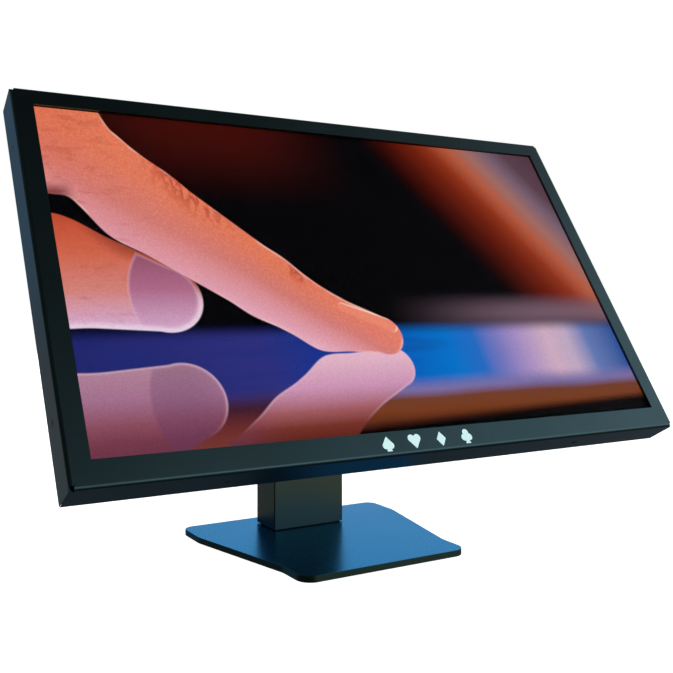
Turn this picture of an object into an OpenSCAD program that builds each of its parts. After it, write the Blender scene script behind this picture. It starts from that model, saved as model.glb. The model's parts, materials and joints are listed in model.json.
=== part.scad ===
// Tabletop touch monitor on a tilting pedestal stand.
// X runs to the viewer's right, Y runs away from the viewer, Z is up.
// The origin is on the resting surface, under the middle of the column.
// The screen head is drawn square to itself, then hung on the hinge at its resting tilt.

/* [Screen opening] */
// Width of the opening in the bezel
window_w = 530; // [460:1:640]
// Height of the opening in the bezel
window_h = 299; // [290:1:380]

/* [Bezel tray] */
// Width of the bezel at the left and at the right
bezel_side = 16.5; // [13:0.5:30]
// Width of the bezel above the opening
bezel_top = 16; // [13:0.5:30]
// Width of the bezel below the opening
bezel_bottom = 19.5; // [15:0.5:40]
// Depth of the folded tray, front face to rear edge
tray_depth = 29.5; // [29:0.5:45]
// Thickness of the tray sheet
tray_sheet = 1.5; // [1:0.1:2]
// Outer radius of the folds
fold_r = 2.5; // [2.2:0.1:4]
// Side of the relief notch where two folds meet
notch = 3.2; // [2.8:0.1:5]
// Gap of the seam where two side walls meet
seam_gap = 0.3; // [0.2:0.1:0.8]

/* [Glass and panel] */
// How far the glass runs under the bezel on each side
glass_lap = 5; // [3:0.5:5.5]
// Thickness of the foam between bezel and glass
gasket_t = 0.6; // [0.5:0.1:2]
// Thickness of the touch glass
glass_t = 2; // [1:0.1:3]
// Thickness of the clear bond between glass and panel
bond_t = 0.2; // [0.1:0.1:0.5]
// Thickness of the liquid crystal cell
cell_t = 1.4; // [1:0.1:2]
// Thickness of the diffuser stack
diffuser_t = 1.2; // [0.8:0.1:2]
// Thickness of the light guide
guide_t = 3; // [2:0.1:3.5]
// Thickness of the reflector behind the light guide
reflector_t = 0.5; // [0.3:0.1:1]
// Thickness of the panel's back pan
pan_t = 1; // [0.6:0.1:1.2]
// Thickness of the rails that hold the panel
rail_t = 2; // [1.5:0.1:2.5]

/* [Rear cover] */
// Thickness of the rear cover sheet
cover_sheet = 1.5; // [1:0.1:2]
// Width of the raised electronics housing
housing_w = 380; // [300:1:400]
// Height of the raised electronics housing
housing_h = 200; // [180:1:240]
// Height of the housing above the cover
housing_rise = 22.5; // [20:0.5:30]
// Length of the cover's folded rim
rim_len = 15; // [14:0.5:16]
// Distance between the mounting holes, both ways
vesa_pitch = 100; // [75:25:100]
// Radius of the mounting screws
vesa_screw_r = 2; // [2:0.5:3]
// Distance of the side wall screws from the screen centre
side_screw_z = 116; // [108:1:125]
// Distance of the bottom wall screws from the screen centre
bottom_screw_x = 168; // [120:1:200]

/* [Buttons] */
// Radius of a button cap
button_r = 3.5; // [2.5:0.1:4]
// Distance from one button to the next
button_pitch = 14; // [12:0.5:15]
// Travel of a button when pressed
button_travel = 0.8; // [0.4:0.1:0.8]
// How far a button stands out of the cover
button_rise = 1.5; // [1:0.1:3]

/* [Tilt hinge] */
// Backward tilt of the screen at rest, in degrees
screen_tilt = 31.4; // [5:0.1:70]
// Height of the hinge axis
hinge_z = 211; // [205:1:240]
// Distance from the column's front to the hinge axis
hinge_reach = 34.4; // [32:0.1:50]
// Distance from the hinge axis to the back of the tilt plate
plate_to_axis = 20.5; // [18:0.5:26]
// Thickness of the tilt plate
tilt_plate_t = 2.5; // [2:0.5:4]
// Radius of the hinge pin
pin_r = 5; // [4:0.5:6]
// Radius of the round end of the hinge lugs
lug_r = 11; // [10:0.5:13]
// Thickness of each hinge lug and cheek
lug_t = 4; // [3:0.5:5]
// Distance between the inner faces of the tilt lugs
lug_gap = 38; // [34:1:44]

/* [Column] */
// Width of the column
column_w = 75.5; // [72:0.5:100]
// Depth of the column
column_d = 36; // [30:1:50]
// Sheet thickness of the column
column_sheet = 2; // [1.5:0.1:3]
// Radius of the column's upright edges
column_edge_r = 1; // [0.5:0.1:1.5]
// Gap between the foot of the column and the base
column_gap = 1; // [0.5:0.1:2]
// Height of the column's top above the hinge axis
column_over_hinge = 15; // [13:1:20]

/* [Base] */
// Thickness of the base plate
base_t = 5.5; // [4:0.5:8]
// Thickness of the rubber pad that shows under the plate
pad_t = 0.5; // [0.5:0.1:3]
// Width of the base at the back
base_back_w = 216.6; // [190:0.1:280]
// Width of the base at the front
base_front_w = 165; // [120:0.1:180]
// Distance from the column's middle to the front edge
base_front = 149.5; // [120:0.1:200]
// Distance from the column's middle to the back edge
base_back = 36.1; // [30:0.1:60]
// Where the sides start to draw in, forward of the column's middle
shoulder = 3; // [0:1:20]
// Where the sides run straight again, forward of the column's middle
waist = 116; // [80:1:118]
// Radius of the front corners
front_corner_r = 13; // [5:0.5:18]
// Radius of the back corners
back_corner_r = 10; // [5:0.5:18]
// Radius of the soft turns along the sides
side_turn_r = 30; // [20:1:80]

/* [Fits] */
// Clearance between pieces that slide into each other
slip = 0.3; // [0.2:0.05:0.5]
// Radial clearance of the hinge pin in the tilt lugs
pin_fit = 0.05; // [0.01:0.01:0.1]
// Radial clearance of a screw in its thread
thread_fit = 0.03; // [0.01:0.01:0.1]
// Radial clearance of a screw in a through hole
screw_clear = 0.25; // [0.1:0.05:0.5]

/* [Hidden] */
$fn = 64;

// Base and column
plate_z = pad_t;
base_top = pad_t + base_t;
shell_z = base_top + column_gap;
column_top = hinge_z + column_over_hinge;
column_front_y = -column_d / 2;
column_back_y = column_d / 2;
column_in_w = column_w - 2 * column_sheet;
pad_inset = 6;
pad_seat = 0.5;
foot_h = 8;
foot_screw_r = 2.5;
foot_screw_head_r = 5;
foot_screw_len = base_t - pad_seat + foot_h - 1;
foot_screw_x = 24;
foot_screw_y = 8;
lip_w = 10;
lip_y = column_back_y - 2 * column_sheet;
cover_screw_r = 1.5;
cover_screw_in = 40;
cable_way_w = 34;
cable_way_h = 16;
cable_way_in = 12;
cap_t = 2;
cap_skirt = 6;
shell_top = column_top - cap_t;
clip_z = 90;
clip_w = 14;
clip_h = 12;
clip_t = 1.5;
clip_r = 4.5;
clip_mouth = 5;

// Hinge, measured from its own axis
hinge_y = column_front_y - hinge_reach;
fork_plate_t = 3;
fork_plate_y = hinge_reach - fork_plate_t;
fork_plate_low = 36;
fork_w = 66;
washer_t = 1;
washer_play = 0.05;
lug_in_x = lug_gap / 2;
lug_out_x = lug_in_x + lug_t;
cheek_in_x = lug_out_x + washer_t + washer_play;
cheek_out_x = cheek_in_x + lug_t;
cheek_r = lug_r + 1;
washer_r = lug_r - 1;
spring_t = 3;
spring_r = pin_r * 1.8;
nut_t = 5;
nut_r = pin_r * 1.5;
pin_head_t = 3;
pin_head_r = pin_r * 1.6;
pin_end = 2;
fork_screw_r = 2.5;
fork_screw_head_r = 4.25;
fork_screw_x = 12;
fork_screw_drops = [2, 28];
backing_w = 60;
backing_up = 4;
tilt_plate_margin = 10;
tilt_plate_side = vesa_pitch + 2 * tilt_plate_margin;

// Depths behind the screen's front face
gasket_d = tray_sheet;
glass_d = gasket_d + gasket_t;
bond_d = glass_d + glass_t;
cell_d = bond_d + bond_t;
diffuser_d = cell_d + cell_t;
guide_d = diffuser_d + diffuser_t;
reflector_d = guide_d + guide_t;
pan_d = reflector_d + reflector_t;
pan_back_d = pan_d + pan_t;
rail_back_d = pan_back_d + rail_t;
cover_d = tray_depth - cover_sheet;
housing_back_d = tray_depth + housing_rise;
tilt_plate_back_d = housing_back_d + tilt_plate_t;
axis_d = tilt_plate_back_d + plate_to_axis;

// Screen head, measured from the middle of the opening
tray_w = window_w + 2 * bezel_side;
tray_top = window_h / 2 + bezel_top;
tray_bottom = -window_h / 2 - bezel_bottom;
tray_h = tray_top - tray_bottom;
tray_mid = (tray_top + tray_bottom) / 2;
glass_w = window_w + 2 * glass_lap;
glass_h = window_h + 2 * glass_lap;
pan_wall = 1;
stack_w = glass_w - 2 * pan_wall - 2 * slip;
stack_h = glass_h - 2 * pan_wall - 2 * slip;
led_bar_h = 4;
guide_h = stack_h - led_bar_h - slip;
rear_w = tray_w - 2 * tray_sheet - 2 * slip;
rear_h = tray_h - 2 * tray_sheet - 2 * slip;
stud_r = 1.5;
stud_gap = 1.7;
stud_x = glass_w / 2 + stud_gap + stud_r;
stud_z = [-90, 0, 90];
stud_over = 3;
stud_end_d = rail_back_d + stud_over;
rail_nut_r = 3;
rail_nut_t = 2.4;
rail_w = 70;
rail_end = 11;
rail_h = 2 * (side_screw_z - rail_end);
rail_out_x = tray_w / 2 - tray_sheet - slip - cover_sheet - slip;
wall_screw_r = 1.5;
wall_screw_head_r = 2.6;
wall_screw_len = 6;
wall_screw_in = 3.5;
wall_screw_d = cover_d - rim_len + wall_screw_in;
housing_corner_r = 6;
housing_flange = 8;
housing_flange_w = housing_w + 2 * housing_flange;
housing_flange_h = housing_h + 2 * housing_flange;
housing_screw_in = 20;
housing_in_w = housing_w - 2 * cover_sheet;
housing_in_h = housing_h - 2 * cover_sheet;
housing_bottom = -housing_h / 2;
vent_w = 3;
vent_h = 32;
vent_pitch = 8;
vent_count = 12;
vent_gap = 12;
vent_x = tilt_plate_side / 2 + vent_gap;
vent_z = [-46, 46];
mounting_plate_t = 3;
mounting_plate_margin = 12;
mounting_plate_side = vesa_pitch + 2 * mounting_plate_margin;
mounting_plate_d = housing_back_d - cover_sheet - mounting_plate_t;

// Boards
board_t = 1.6;
board_w = 170;
board_h = 64;
board_above = 44;
board_lift = 3;
board_z = housing_bottom + board_above;
board_d = tray_depth + board_lift;
board_face_d = board_d + board_t;
board_hole_in = 5;
standoff_r = 3;
board_screw_r = 1.5;
board_screw_head_r = 2.8;
board_screw_len = 6;
// Chips on the controller board: place, width, height and thickness
chips = [[-20, 12, 24, 24, 2], [14, 12, 12, 16, 1.2], [52, 16, 18, 10, 5]];
can_x = [-66, -52];
can_z = 10;
can_r = 4;
can_h = 8;
ribbon_t = 0.4;
ribbon_w = 6;
ribbon_under = 6;
panel_ribbon_w = 40;
panel_ribbon_run = 40;
touch_ribbon_w = 20;
touch_board_x = -120;
touch_board_z = 60;
touch_board_w = 60;
touch_board_h = 22;
touch_pad_t = 1.5;
touch_pad_in = 4;
touch_chip_w = 10;
touch_chip_t = 1;

// Sockets: place along X, width and height of the body
hdmi_x = -50;
hdmi_w = 15;
hdmi_t = 6;
hdmi_wall = 0.6;
hdmi_tongue = 1.6;
vga_x = -12;
vga_w = 31;
vga_t = 12.5;
vga_shell_w = 17;
vga_shell_t = 8.4;
vga_out = 5;
jack_x = 12.5;
jack_r = 2.6;
jack_hole_r = 1.4;
pin_hole_r = 0.5;
pin_pitch = 2.3;
pin_row = 2;
pin_stagger = 0.6;
usb_x = 28;
usb_w = 12;
usb_t = 11;
usb_wall = 1.5;
usb_tongue = 3;
power_x = 58;
power_w = 9;
power_t = 11;
power_hole_r = 3.2;
power_pin_r = 1;
socket_len = 15;
mouth_depth = 9;

// Buttons
buttons_beside = 42;
buttons_below = 10;
button_lip = 1.3;
button_x = housing_w / 2 + buttons_beside;
button_z = housing_bottom - buttons_below;
button_flange_r = button_r + button_lip;
button_flange_t = 1;
button_play = 0.1;
button_d = cover_d - button_play - button_flange_t;
switch_t = 2.4;
switch_w = 6;
switch_d = button_d - button_travel - button_play - switch_t;
button_board_d = switch_d - board_t;
button_board_w = 5 * button_pitch + 10;
button_board_h = 20;
button_hole_x = button_board_w / 2 - 4;

// Row of four card suit marks on the lower bezel
suit_pitch = 25.5;
suit_size = 12;
suit_t = 0.2;

// Hex socket in a screw head: its radius to the screw's, and its floor to the head's height
hex_share = 0.85;
hex_floor = 0.4;
sunk_hex_share = 0.6;

paint = [0.10, 0.15, 0.16];
paint_dark = [0.06, 0.07, 0.08];
base_blue = [0.20, 0.48, 0.72];
steel = [0.62, 0.64, 0.66];
bronze = [0.72, 0.56, 0.32];
rubber = [0.08, 0.08, 0.08];
circuit_green = [0.10, 0.35, 0.20];
pale_cyan = [0.80, 0.95, 0.95];
clear = [0.75, 0.85, 0.90, 0.4];
white = [0.92, 0.93, 0.94];

// ---- shared shapes ----

// Points of a round turn of radius r at corner p, on the way from a to b
function turn(a, p, b, r, steps = 16) =
    let (u = (a - p) / norm(a - p),
         v = (b - p) / norm(b - p),
         half = acos(u * v) / 2,
         centre = p + (u + v) / norm(u + v) * r / sin(half),
         from = p + u * r / tan(half) - centre,
         to = p + v * r / tan(half) - centre,
         start = atan2(from[1], from[0]),
         way = sign(cross(from, to)) * (180 - 2 * half))
    [for (i = [0:steps]) centre + r * [cos(start + way * i / steps), sin(start + way * i / steps)]];

function mirrored(points) = [for (i = [len(points) - 1:-1:0]) [-points[i][0], points[i][1]]];

// Right half of the base outline, drawn in by inset, from front to back
function base_side(inset) =
    let (back = [base_back_w / 2 - inset, base_back - inset],
         wide = [base_back_w / 2 - inset, -shoulder],
         narrow = [base_front_w / 2 - inset, -waist],
         front = [base_front_w / 2 - inset, -base_front + inset],
         middle_front = [0, -base_front + inset],
         middle_back = [0, base_back - inset])
    concat(
        turn(middle_front, front, narrow, front_corner_r - inset / 2),
        turn(front, narrow, wide, side_turn_r),
        turn(narrow, wide, back, side_turn_r),
        turn(wide, back, middle_back, back_corner_r - inset / 2));

module base_form(inset, thickness) {
    side = base_side(inset);
    linear_extrude(thickness) polygon(concat(side, mirrored(side)));
}

// Box with upright edges rounded, centred in X and Y
module round_box(w, d, h, r) {
    translate([-w / 2 + r, -d / 2, 0]) cube([w - 2 * r, d, h]);
    translate([-w / 2, -d / 2 + r, 0]) cube([w, d - 2 * r, h]);
    for (x = [-1, 1], y = [-1, 1])
        translate([x * (w / 2 - r), y * (d / 2 - r), 0]) cylinder(r = r, h = h);
}

// Screw pointing down from z = 0, with its head above
module screw(r, length, head_r, head_t) {
    translate([0, 0, -length]) cylinder(r = r, h = length);
    difference() {
        cylinder(r = head_r, h = head_t);
        translate([0, 0, head_t * hex_floor]) cylinder(r = r * hex_share, h = head_t, $fn = 6);
    }
}

// Countersunk screw pointing down, its flat head ending at z = 0
module sunk_screw(r, length, head_r) {
    difference() {
        union() {
            translate([0, 0, -length]) cylinder(r = r, h = length);
            translate([0, 0, r - head_r]) cylinder(r1 = r, r2 = head_r, h = head_r - r);
        }
        translate([0, 0, -1]) cylinder(r = r * sunk_hex_share, h = 2, $fn = 6);
    }
}

// Through hole for a countersunk screw that points down from z = 0
module sunk_hole(r, length, head_r) {
    wide = r + screw_clear;
    translate([0, 0, -length]) cylinder(r = wide, h = length + 1);
    translate([0, 0, r - head_r - screw_clear])
        cylinder(r1 = r, r2 = head_r + screw_clear, h = head_r - r + screw_clear);
    cylinder(r = head_r + screw_clear, h = 1);
}

module at_corners(x, y) {
    for (sx = [-1, 1], sy = [-1, 1]) translate([sx * x, sy * y, 0]) children();
}

// Carries a screen piece to the hinge and leans it back
module head() {
    translate([0, hinge_y, hinge_z]) rotate([-screen_tilt, 0, 0]) children();
}

// Plate of the screen head between two depths behind its front face
module slab(w, h, from_d, to_d, x = 0, z = 0) {
    translate([x - w / 2, from_d - axis_d, z - h / 2]) cube([w, to_d - from_d, h]);
}

module ring_slab(w, h, open_w, open_h, from_d, to_d, z = 0) {
    difference() {
        slab(w, h, from_d, to_d, z = z);
        slab(open_w, open_h, from_d - 1, to_d + 1, z = z);
    }
}

// Places a shape at a depth of the screen head, its +Z pointing to the back
module facing_back(x, z, d) {
    translate([x, d - axis_d, z]) rotate([-90, 0, 0]) children();
}

// ---- stand ----

module base_plate() {
    color(base_blue) difference() {
        translate([0, 0, plate_z]) base_form(0, base_t);
        base_form(pad_inset - slip, pad_t + pad_seat);
        foot_screw_places() sunk_hole(foot_screw_r, base_t + 1, foot_screw_head_r);
    }
}

// The screws enter from below, so their places point down
module foot_screw_places() {
    at_corners(foot_screw_x, foot_screw_y)
        translate([0, 0, plate_z + pad_seat]) mirror([0, 0, 1]) children();
}

module base_pad() {
    color(rubber) base_form(pad_inset, pad_t + pad_seat);
}

module foot_screws() {
    color(steel) foot_screw_places() sunk_screw(foot_screw_r, foot_screw_len, foot_screw_head_r);
}

module column_foot() {
    color(paint_dark) difference() {
        translate([-column_in_w / 2, column_front_y + column_sheet, base_top])
            cube([column_in_w, lip_y - column_front_y - column_sheet, foot_h]);
        at_corners(foot_screw_x, foot_screw_y)
            translate([0, 0, base_top - 1]) cylinder(r = foot_screw_r + thread_fit, h = foot_h + 2);
    }
}

// Where the rear cover is screwed to the lips of the column
module cover_screw_places() {
    for (x = [-1, 1], z = [shell_z + cover_screw_in, shell_top - cover_screw_in])
        translate([x * (column_in_w - lip_w) / 2, column_back_y, z]) rotate([-90, 0, 0]) children();
}

// Where the hinge fork is bolted to the column's front wall, at a given Y
module fork_screw_places(y) {
    for (x = [-1, 1], drop = fork_screw_drops)
        translate([x * fork_screw_x, y, hinge_z - drop]) rotate([90, 0, 0]) children();
}

module column_shell() {
    height = shell_top - shell_z;
    color(paint) difference() {
        translate([0, 0, shell_z]) round_box(column_w, column_d, height, column_edge_r);
        translate([-column_in_w / 2, column_front_y + column_sheet, shell_z - 1])
            cube([column_in_w, lip_y - column_front_y - column_sheet, height + 2]);
        translate([-column_in_w / 2 + lip_w, lip_y - 1, shell_z - 1])
            cube([column_in_w - 2 * lip_w, column_d, height + 2]);
        translate([-column_in_w / 2, column_back_y - column_sheet, shell_z - 1])
            cube([column_in_w, column_sheet + 1, height + 2]);
        cover_screw_places()
            translate([0, 0, -2 * column_sheet - 1])
                cylinder(r = cover_screw_r + thread_fit, h = column_sheet + 2);
        fork_screw_places(0) cylinder(r = fork_screw_r + screw_clear, h = column_d);
    }
}

module column_rear_cover() {
    cover_w = column_in_w - 2 * slip;
    color(paint_dark) difference() {
        translate([-cover_w / 2, column_back_y - column_sheet, shell_z])
            cube([cover_w, column_sheet, shell_top - shell_z]);
        for (z = [shell_z + cable_way_in, shell_top - cable_way_in - cable_way_h])
            translate([-cable_way_w / 2, column_back_y - column_sheet - 1, z])
                cube([cable_way_w, column_sheet + 2, cable_way_h]);
        cover_screw_places()
            translate([0, 0, -column_sheet - 1])
                cylinder(r = cover_screw_r + screw_clear, h = column_sheet + 2);
        clip_place()
            translate([0, 0, -column_sheet - 1])
                cylinder(r = cover_screw_r + thread_fit, h = column_sheet + 2);
    }
}

module rear_cover_screws() {
    color(steel) cover_screw_places()
        screw(cover_screw_r, 2 * column_sheet, cover_screw_r * 2, cover_screw_r);
}

module column_cap() {
    plug_w = column_in_w - 2 * slip;
    plug_d = lip_y - column_front_y - column_sheet - 2 * slip;
    plug_mid_y = (lip_y + column_front_y + column_sheet) / 2;
    color(paint_dark) {
        translate([0, 0, shell_top]) round_box(column_w, column_d, cap_t, column_edge_r);
        difference() {
            translate([0, plug_mid_y, shell_top - cap_skirt])
                linear_extrude(cap_skirt) square([plug_w, plug_d], center = true);
            translate([0, plug_mid_y, shell_top - cap_skirt - 1])
                linear_extrude(cap_skirt + 1)
                    square([plug_w - 2 * cap_t, plug_d - 2 * cap_t], center = true);
        }
    }
}

module hinge_backing_plate() {
    color(steel) difference() {
        translate([-backing_w / 2, column_front_y + column_sheet, hinge_z - fork_plate_low])
            cube([backing_w, fork_plate_t, fork_plate_low + backing_up]);
        fork_screw_places(0) cylinder(r = fork_screw_r + thread_fit, h = column_d);
    }
}

// Upright plate with a round end on the hinge axis, reaching along Y to reach_y
module lug_plate(from_x, thickness, r, reach_y) {
    translate([from_x, 0, 0]) rotate([0, 90, 0]) cylinder(r = r, h = thickness);
    translate([from_x, min(0, reach_y), -r]) cube([thickness, abs(reach_y), 2 * r]);
}

module pin_bore(fit) {
    translate([-fork_w, 0, 0]) rotate([0, 90, 0]) cylinder(r = pin_r + fit, h = 2 * fork_w);
}

// Ring around the hinge pin
module pin_ring(from_x, thickness, r) {
    translate([from_x, hinge_y, hinge_z]) rotate([0, 90, 0]) difference() {
        cylinder(r = r, h = thickness);
        translate([0, 0, -1]) cylinder(r = pin_r + thread_fit, h = thickness + 2);
    }
}

module hinge_fork() {
    color(paint_dark) difference() {
        translate([0, hinge_y, hinge_z]) {
            translate([-fork_w / 2, fork_plate_y, -fork_plate_low])
                cube([fork_w, fork_plate_t, fork_plate_low + cheek_r]);
            for (x = [cheek_in_x, -cheek_out_x]) lug_plate(x, lug_t, cheek_r, fork_plate_y);
        }
        translate([0, hinge_y, hinge_z]) pin_bore(thread_fit);
        fork_screw_places(0) cylinder(r = fork_screw_r + screw_clear, h = column_d);
    }
}

module fork_screws() {
    color(steel) fork_screw_places(column_front_y - fork_plate_t)
        screw(fork_screw_r, 2 * fork_plate_t + column_sheet, fork_screw_head_r, fork_screw_r);
}

module hinge_pin() {
    color(steel) translate([0, hinge_y, hinge_z]) rotate([0, 90, 0]) {
        translate([0, 0, -cheek_out_x])
            cylinder(r = pin_r, h = 2 * cheek_out_x + spring_t + nut_t + pin_end);
        translate([0, 0, -cheek_out_x - pin_head_t]) cylinder(r = pin_head_r, h = pin_head_t);
    }
}

module friction_washers() {
    color(bronze) for (x = [cheek_in_x - washer_t, -cheek_in_x]) pin_ring(x, washer_t, washer_r);
}

module spring_washers() {
    color(steel) pin_ring(cheek_out_x, spring_t, spring_r);
}

module hinge_nut() {
    color(steel) translate([cheek_out_x + spring_t, hinge_y, hinge_z]) rotate([0, 90, 0]) difference() {
        cylinder(r = nut_r, h = nut_t, $fn = 6);
        translate([0, 0, -1]) cylinder(r = pin_r + thread_fit, h = nut_t + 2);
    }
}

module clip_place() {
    translate([0, column_back_y, clip_z]) rotate([-90, 0, 0]) children();
}

// Open ring that holds the leads behind the column
module cable_clip() {
    color(rubber) clip_place() {
        translate([0, 0, -column_sheet]) cylinder(r = cover_screw_r, h = column_sheet);
        difference() {
            union() {
                translate([-clip_w / 2, -clip_h / 2, 0]) cube([clip_w, clip_h, clip_t]);
                translate([0, clip_h / 2, clip_r + clip_t]) rotate([90, 0, 0])
                    cylinder(r = clip_r + clip_t, h = clip_h);
            }
            translate([0, clip_h, clip_r + clip_t]) rotate([90, 0, 0])
                cylinder(r = clip_r, h = 2 * clip_h);
            translate([-clip_mouth / 2, -clip_h, clip_r + clip_t])
                cube([clip_mouth, 2 * clip_h, 2 * clip_r]);
        }
    }
}

// ---- screen head: bezel tray and glass ----

// Quarter round fold standing on Z, filling the +X and +Y quarter
module fold(length) {
    rotate_extrude(angle = 90) translate([fold_r - tray_sheet, 0]) square([tray_sheet, length]);
}

module side_fold() {
    translate([tray_w / 2 - fold_r, fold_r - axis_d, tray_bottom + notch])
        mirror([0, 1, 0]) fold(tray_h - 2 * notch);
}

module end_fold() {
    translate([notch - tray_w / 2, fold_r - axis_d, -tray_h / 2 + fold_r])
        mirror([0, 1, 0]) rotate([0, 90, 0]) fold(tray_w - 2 * notch);
}

// Cuts made at each corner of the tray: the relief notch and the seam behind it
module corner_cuts() {
    for (x = [-1, 1], z = [-1, 1]) translate([x * tray_w / 2, 0, tray_mid + z * tray_h / 2]) {
        translate([-notch, -axis_d - 1, -notch]) cube([2 * notch, notch + 1, 2 * notch]);
        rotate([0, x * z * 45, 0])
            translate([-seam_gap / 2, -axis_d, -2 * notch]) cube([seam_gap, tray_depth + 1, 4 * notch]);
    }
}

// Where screws go through the side walls, pointing outwards along +Z
module wall_screw_places() {
    for (x = [-1, 1], z = [-1, 1]) {
        translate([x * tray_w / 2, wall_screw_d - axis_d, z * side_screw_z])
            rotate([0, x * 90, 0]) children();
        translate([x * bottom_screw_x, wall_screw_d - axis_d, tray_mid + z * tray_h / 2])
            rotate([z > 0 ? 0 : 180, 0, 0]) children();
    }
}

module bezel_tray() {
    color(paint) head() {
        difference() {
            union() {
                slab(tray_w - 2 * fold_r, tray_h - 2 * fold_r, 0, tray_sheet, z = tray_mid);
                for (x = [0, 1]) mirror([x, 0, 0]) side_fold();
                translate([0, 0, tray_mid]) for (z = [0, 1]) mirror([0, 0, z]) end_fold();
                ring_slab(
                    tray_w, tray_h, tray_w - 2 * tray_sheet, tray_h - 2 * tray_sheet,
                    fold_r, tray_depth, z = tray_mid);
            }
            slab(window_w, window_h, -1, tray_sheet + 1);
            corner_cuts();
            wall_screw_places() sunk_hole(wall_screw_r, 2 * wall_screw_len, wall_screw_head_r);
        }
        stud_places(tray_sheet) cylinder(r = stud_r, h = stud_end_d - tray_sheet);
    }
}

// Studs welded behind the side bezels
module stud_places(d) {
    for (x = [-1, 1], z = stud_z) facing_back(x * stud_x, z, d) children();
}

// Two round lobes over a point, size high
module heart(size) {
    for (x = [-0.243, 0.243]) translate(size * [x, 0.23]) circle(r = size * 0.27);
    polygon(size * [[0, -0.5], [0.445, 0.066], [0, 0.25], [-0.445, 0.066]]);
}

module stem(size) {
    polygon([[0, size * 0.1], [size * 0.2, -size * 0.5], [-size * 0.2, -size * 0.5]]);
}

module suit(i, size) {
    if (i == 0) {
        translate([0, size * 0.08]) rotate([0, 0, 180]) heart(size * 0.84);
        stem(size);
    }
    if (i == 1) heart(size * 0.96);
    if (i == 2) polygon([[0, size * 0.5], [size * 0.37, 0], [0, -size * 0.5], [-size * 0.37, 0]]);
    if (i == 3) {
        for (c = [[0, 0.26], [-0.2, -0.06], [0.2, -0.06]])
            translate(size * c) circle(r = size * 0.24);
        stem(size);
    }
}

module suit_badge() {
    color(pale_cyan) head() for (i = [0:3])
        translate([(i - 1.5) * suit_pitch, -axis_d, -(window_h + bezel_bottom) / 2])
            rotate([90, 0, 0]) linear_extrude(suit_t) suit(i, suit_size);
}

module window_gasket() {
    color(rubber) head()
        ring_slab(glass_w, glass_h, window_w + slip, window_h + slip, gasket_d, glass_d);
}

module touch_glass() {
    color(clear) head() slab(glass_w, glass_h, glass_d, bond_d);
}

module optical_bond() {
    color(clear) head() slab(stack_w, stack_h, bond_d, cell_d);
}

// ---- screen head: liquid crystal panel ----

// Thin frame around the edge of the bonded cell
module panel_mid_frame() {
    color(paint_dark) head()
        ring_slab(glass_w, glass_h, stack_w + 2 * slip, stack_h + 2 * slip, bond_d, diffuser_d);
}

module lcd_cell() {
    color("black") head() slab(stack_w, stack_h, cell_d, diffuser_d);
}

module diffuser_stack() {
    color(white) head() slab(stack_w, stack_h, diffuser_d, guide_d);
}

module light_guide() {
    color(clear) head() slab(stack_w, guide_h, guide_d, reflector_d, z = (stack_h - guide_h) / 2);
}

module reflector_sheet() {
    color(white) head() slab(stack_w, stack_h, reflector_d, pan_d);
}

module led_bar() {
    color(white) head() slab(stack_w, led_bar_h, guide_d, reflector_d, z = (led_bar_h - stack_h) / 2);
}

module panel_back_pan() {
    color(steel) head() {
        slab(glass_w, glass_h, pan_d, pan_back_d);
        ring_slab(glass_w, glass_h, glass_w - 2 * pan_wall, glass_h - 2 * pan_wall, diffuser_d, pan_d);
    }
}

module panel_rails() {
    color(steel) head() difference() {
        for (x = [-1, 1])
            slab(rail_w, rail_h, pan_back_d, rail_back_d, x = x * (rail_out_x - rail_w / 2));
        stud_places(pan_d) cylinder(r = stud_r + screw_clear, h = 2 * rail_t);
    }
}

module rail_nuts() {
    color(steel) head() stud_places(rail_back_d) difference() {
        cylinder(r = rail_nut_r, h = rail_nut_t, $fn = 6);
        translate([0, 0, -1]) cylinder(r = stud_r + thread_fit, h = rail_nut_t + 2);
    }
}

// ---- screen head: rear cover and mounting ----

module vents() {
    for (x = [-1, 1], z = vent_z, i = [0:vent_count - 1])
        slab(
            vent_w, vent_h, housing_back_d - cover_sheet - 1, housing_back_d + 1,
            x = x * (vent_x + i * vent_pitch), z = z);
}

module rear_cover() {
    color(paint_dark) head() difference() {
        union() {
            slab(rear_w, rear_h, cover_d, tray_depth, z = tray_mid);
            ring_slab(
                rear_w, rear_h, rear_w - 2 * cover_sheet, rear_h - 2 * cover_sheet,
                cover_d - rim_len, cover_d, z = tray_mid);
        }
        slab(housing_in_w, housing_in_h, cover_d - 1, tray_depth + 1);
        housing_screw_places()
            cylinder(r = board_screw_r + thread_fit, h = 4 * cover_sheet, center = true);
        for (i = [0:4])
            button_place(i, cover_d - 1) cylinder(r = button_r + slip, h = cover_sheet + 2);
        wall_screw_places()
            translate([0, 0, -wall_screw_len - 1])
                cylinder(r = wall_screw_r + thread_fit, h = wall_screw_len + 2);
    }
}

// Screws through the flange of the housing
module housing_screw_places() {
    for (x = [-1, 0, 1], z = [-1, 1])
        facing_back(
            x * (housing_w / 2 - housing_screw_in), z * (housing_h + housing_flange) / 2,
            tray_depth + cover_sheet) children();
}

// Box that stands on the rear cover and carries the mounting holes and the sockets' windows
module electronics_housing() {
    color(paint_dark) head() difference() {
        union() {
            facing_back(0, 0, tray_depth)
                round_box(housing_w, housing_h, housing_rise, housing_corner_r);
            facing_back(0, 0, tray_depth)
                round_box(housing_flange_w, housing_flange_h, cover_sheet, housing_corner_r);
        }
        facing_back(0, 0, tray_depth - cover_sheet)
            round_box(housing_in_w, housing_in_h, housing_rise, housing_corner_r - cover_sheet);
        vents();
        socket_windows();
        vesa_places(housing_back_d - cover_sheet - 1)
            cylinder(r = vesa_screw_r + screw_clear, h = cover_sheet + 2);
        housing_screw_places()
            cylinder(r = board_screw_r + screw_clear, h = 4 * cover_sheet, center = true);
    }
}

module housing_screws() {
    color(steel) head() housing_screw_places()
        screw(board_screw_r, 2 * cover_sheet, board_screw_head_r, board_screw_r);
}

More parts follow.
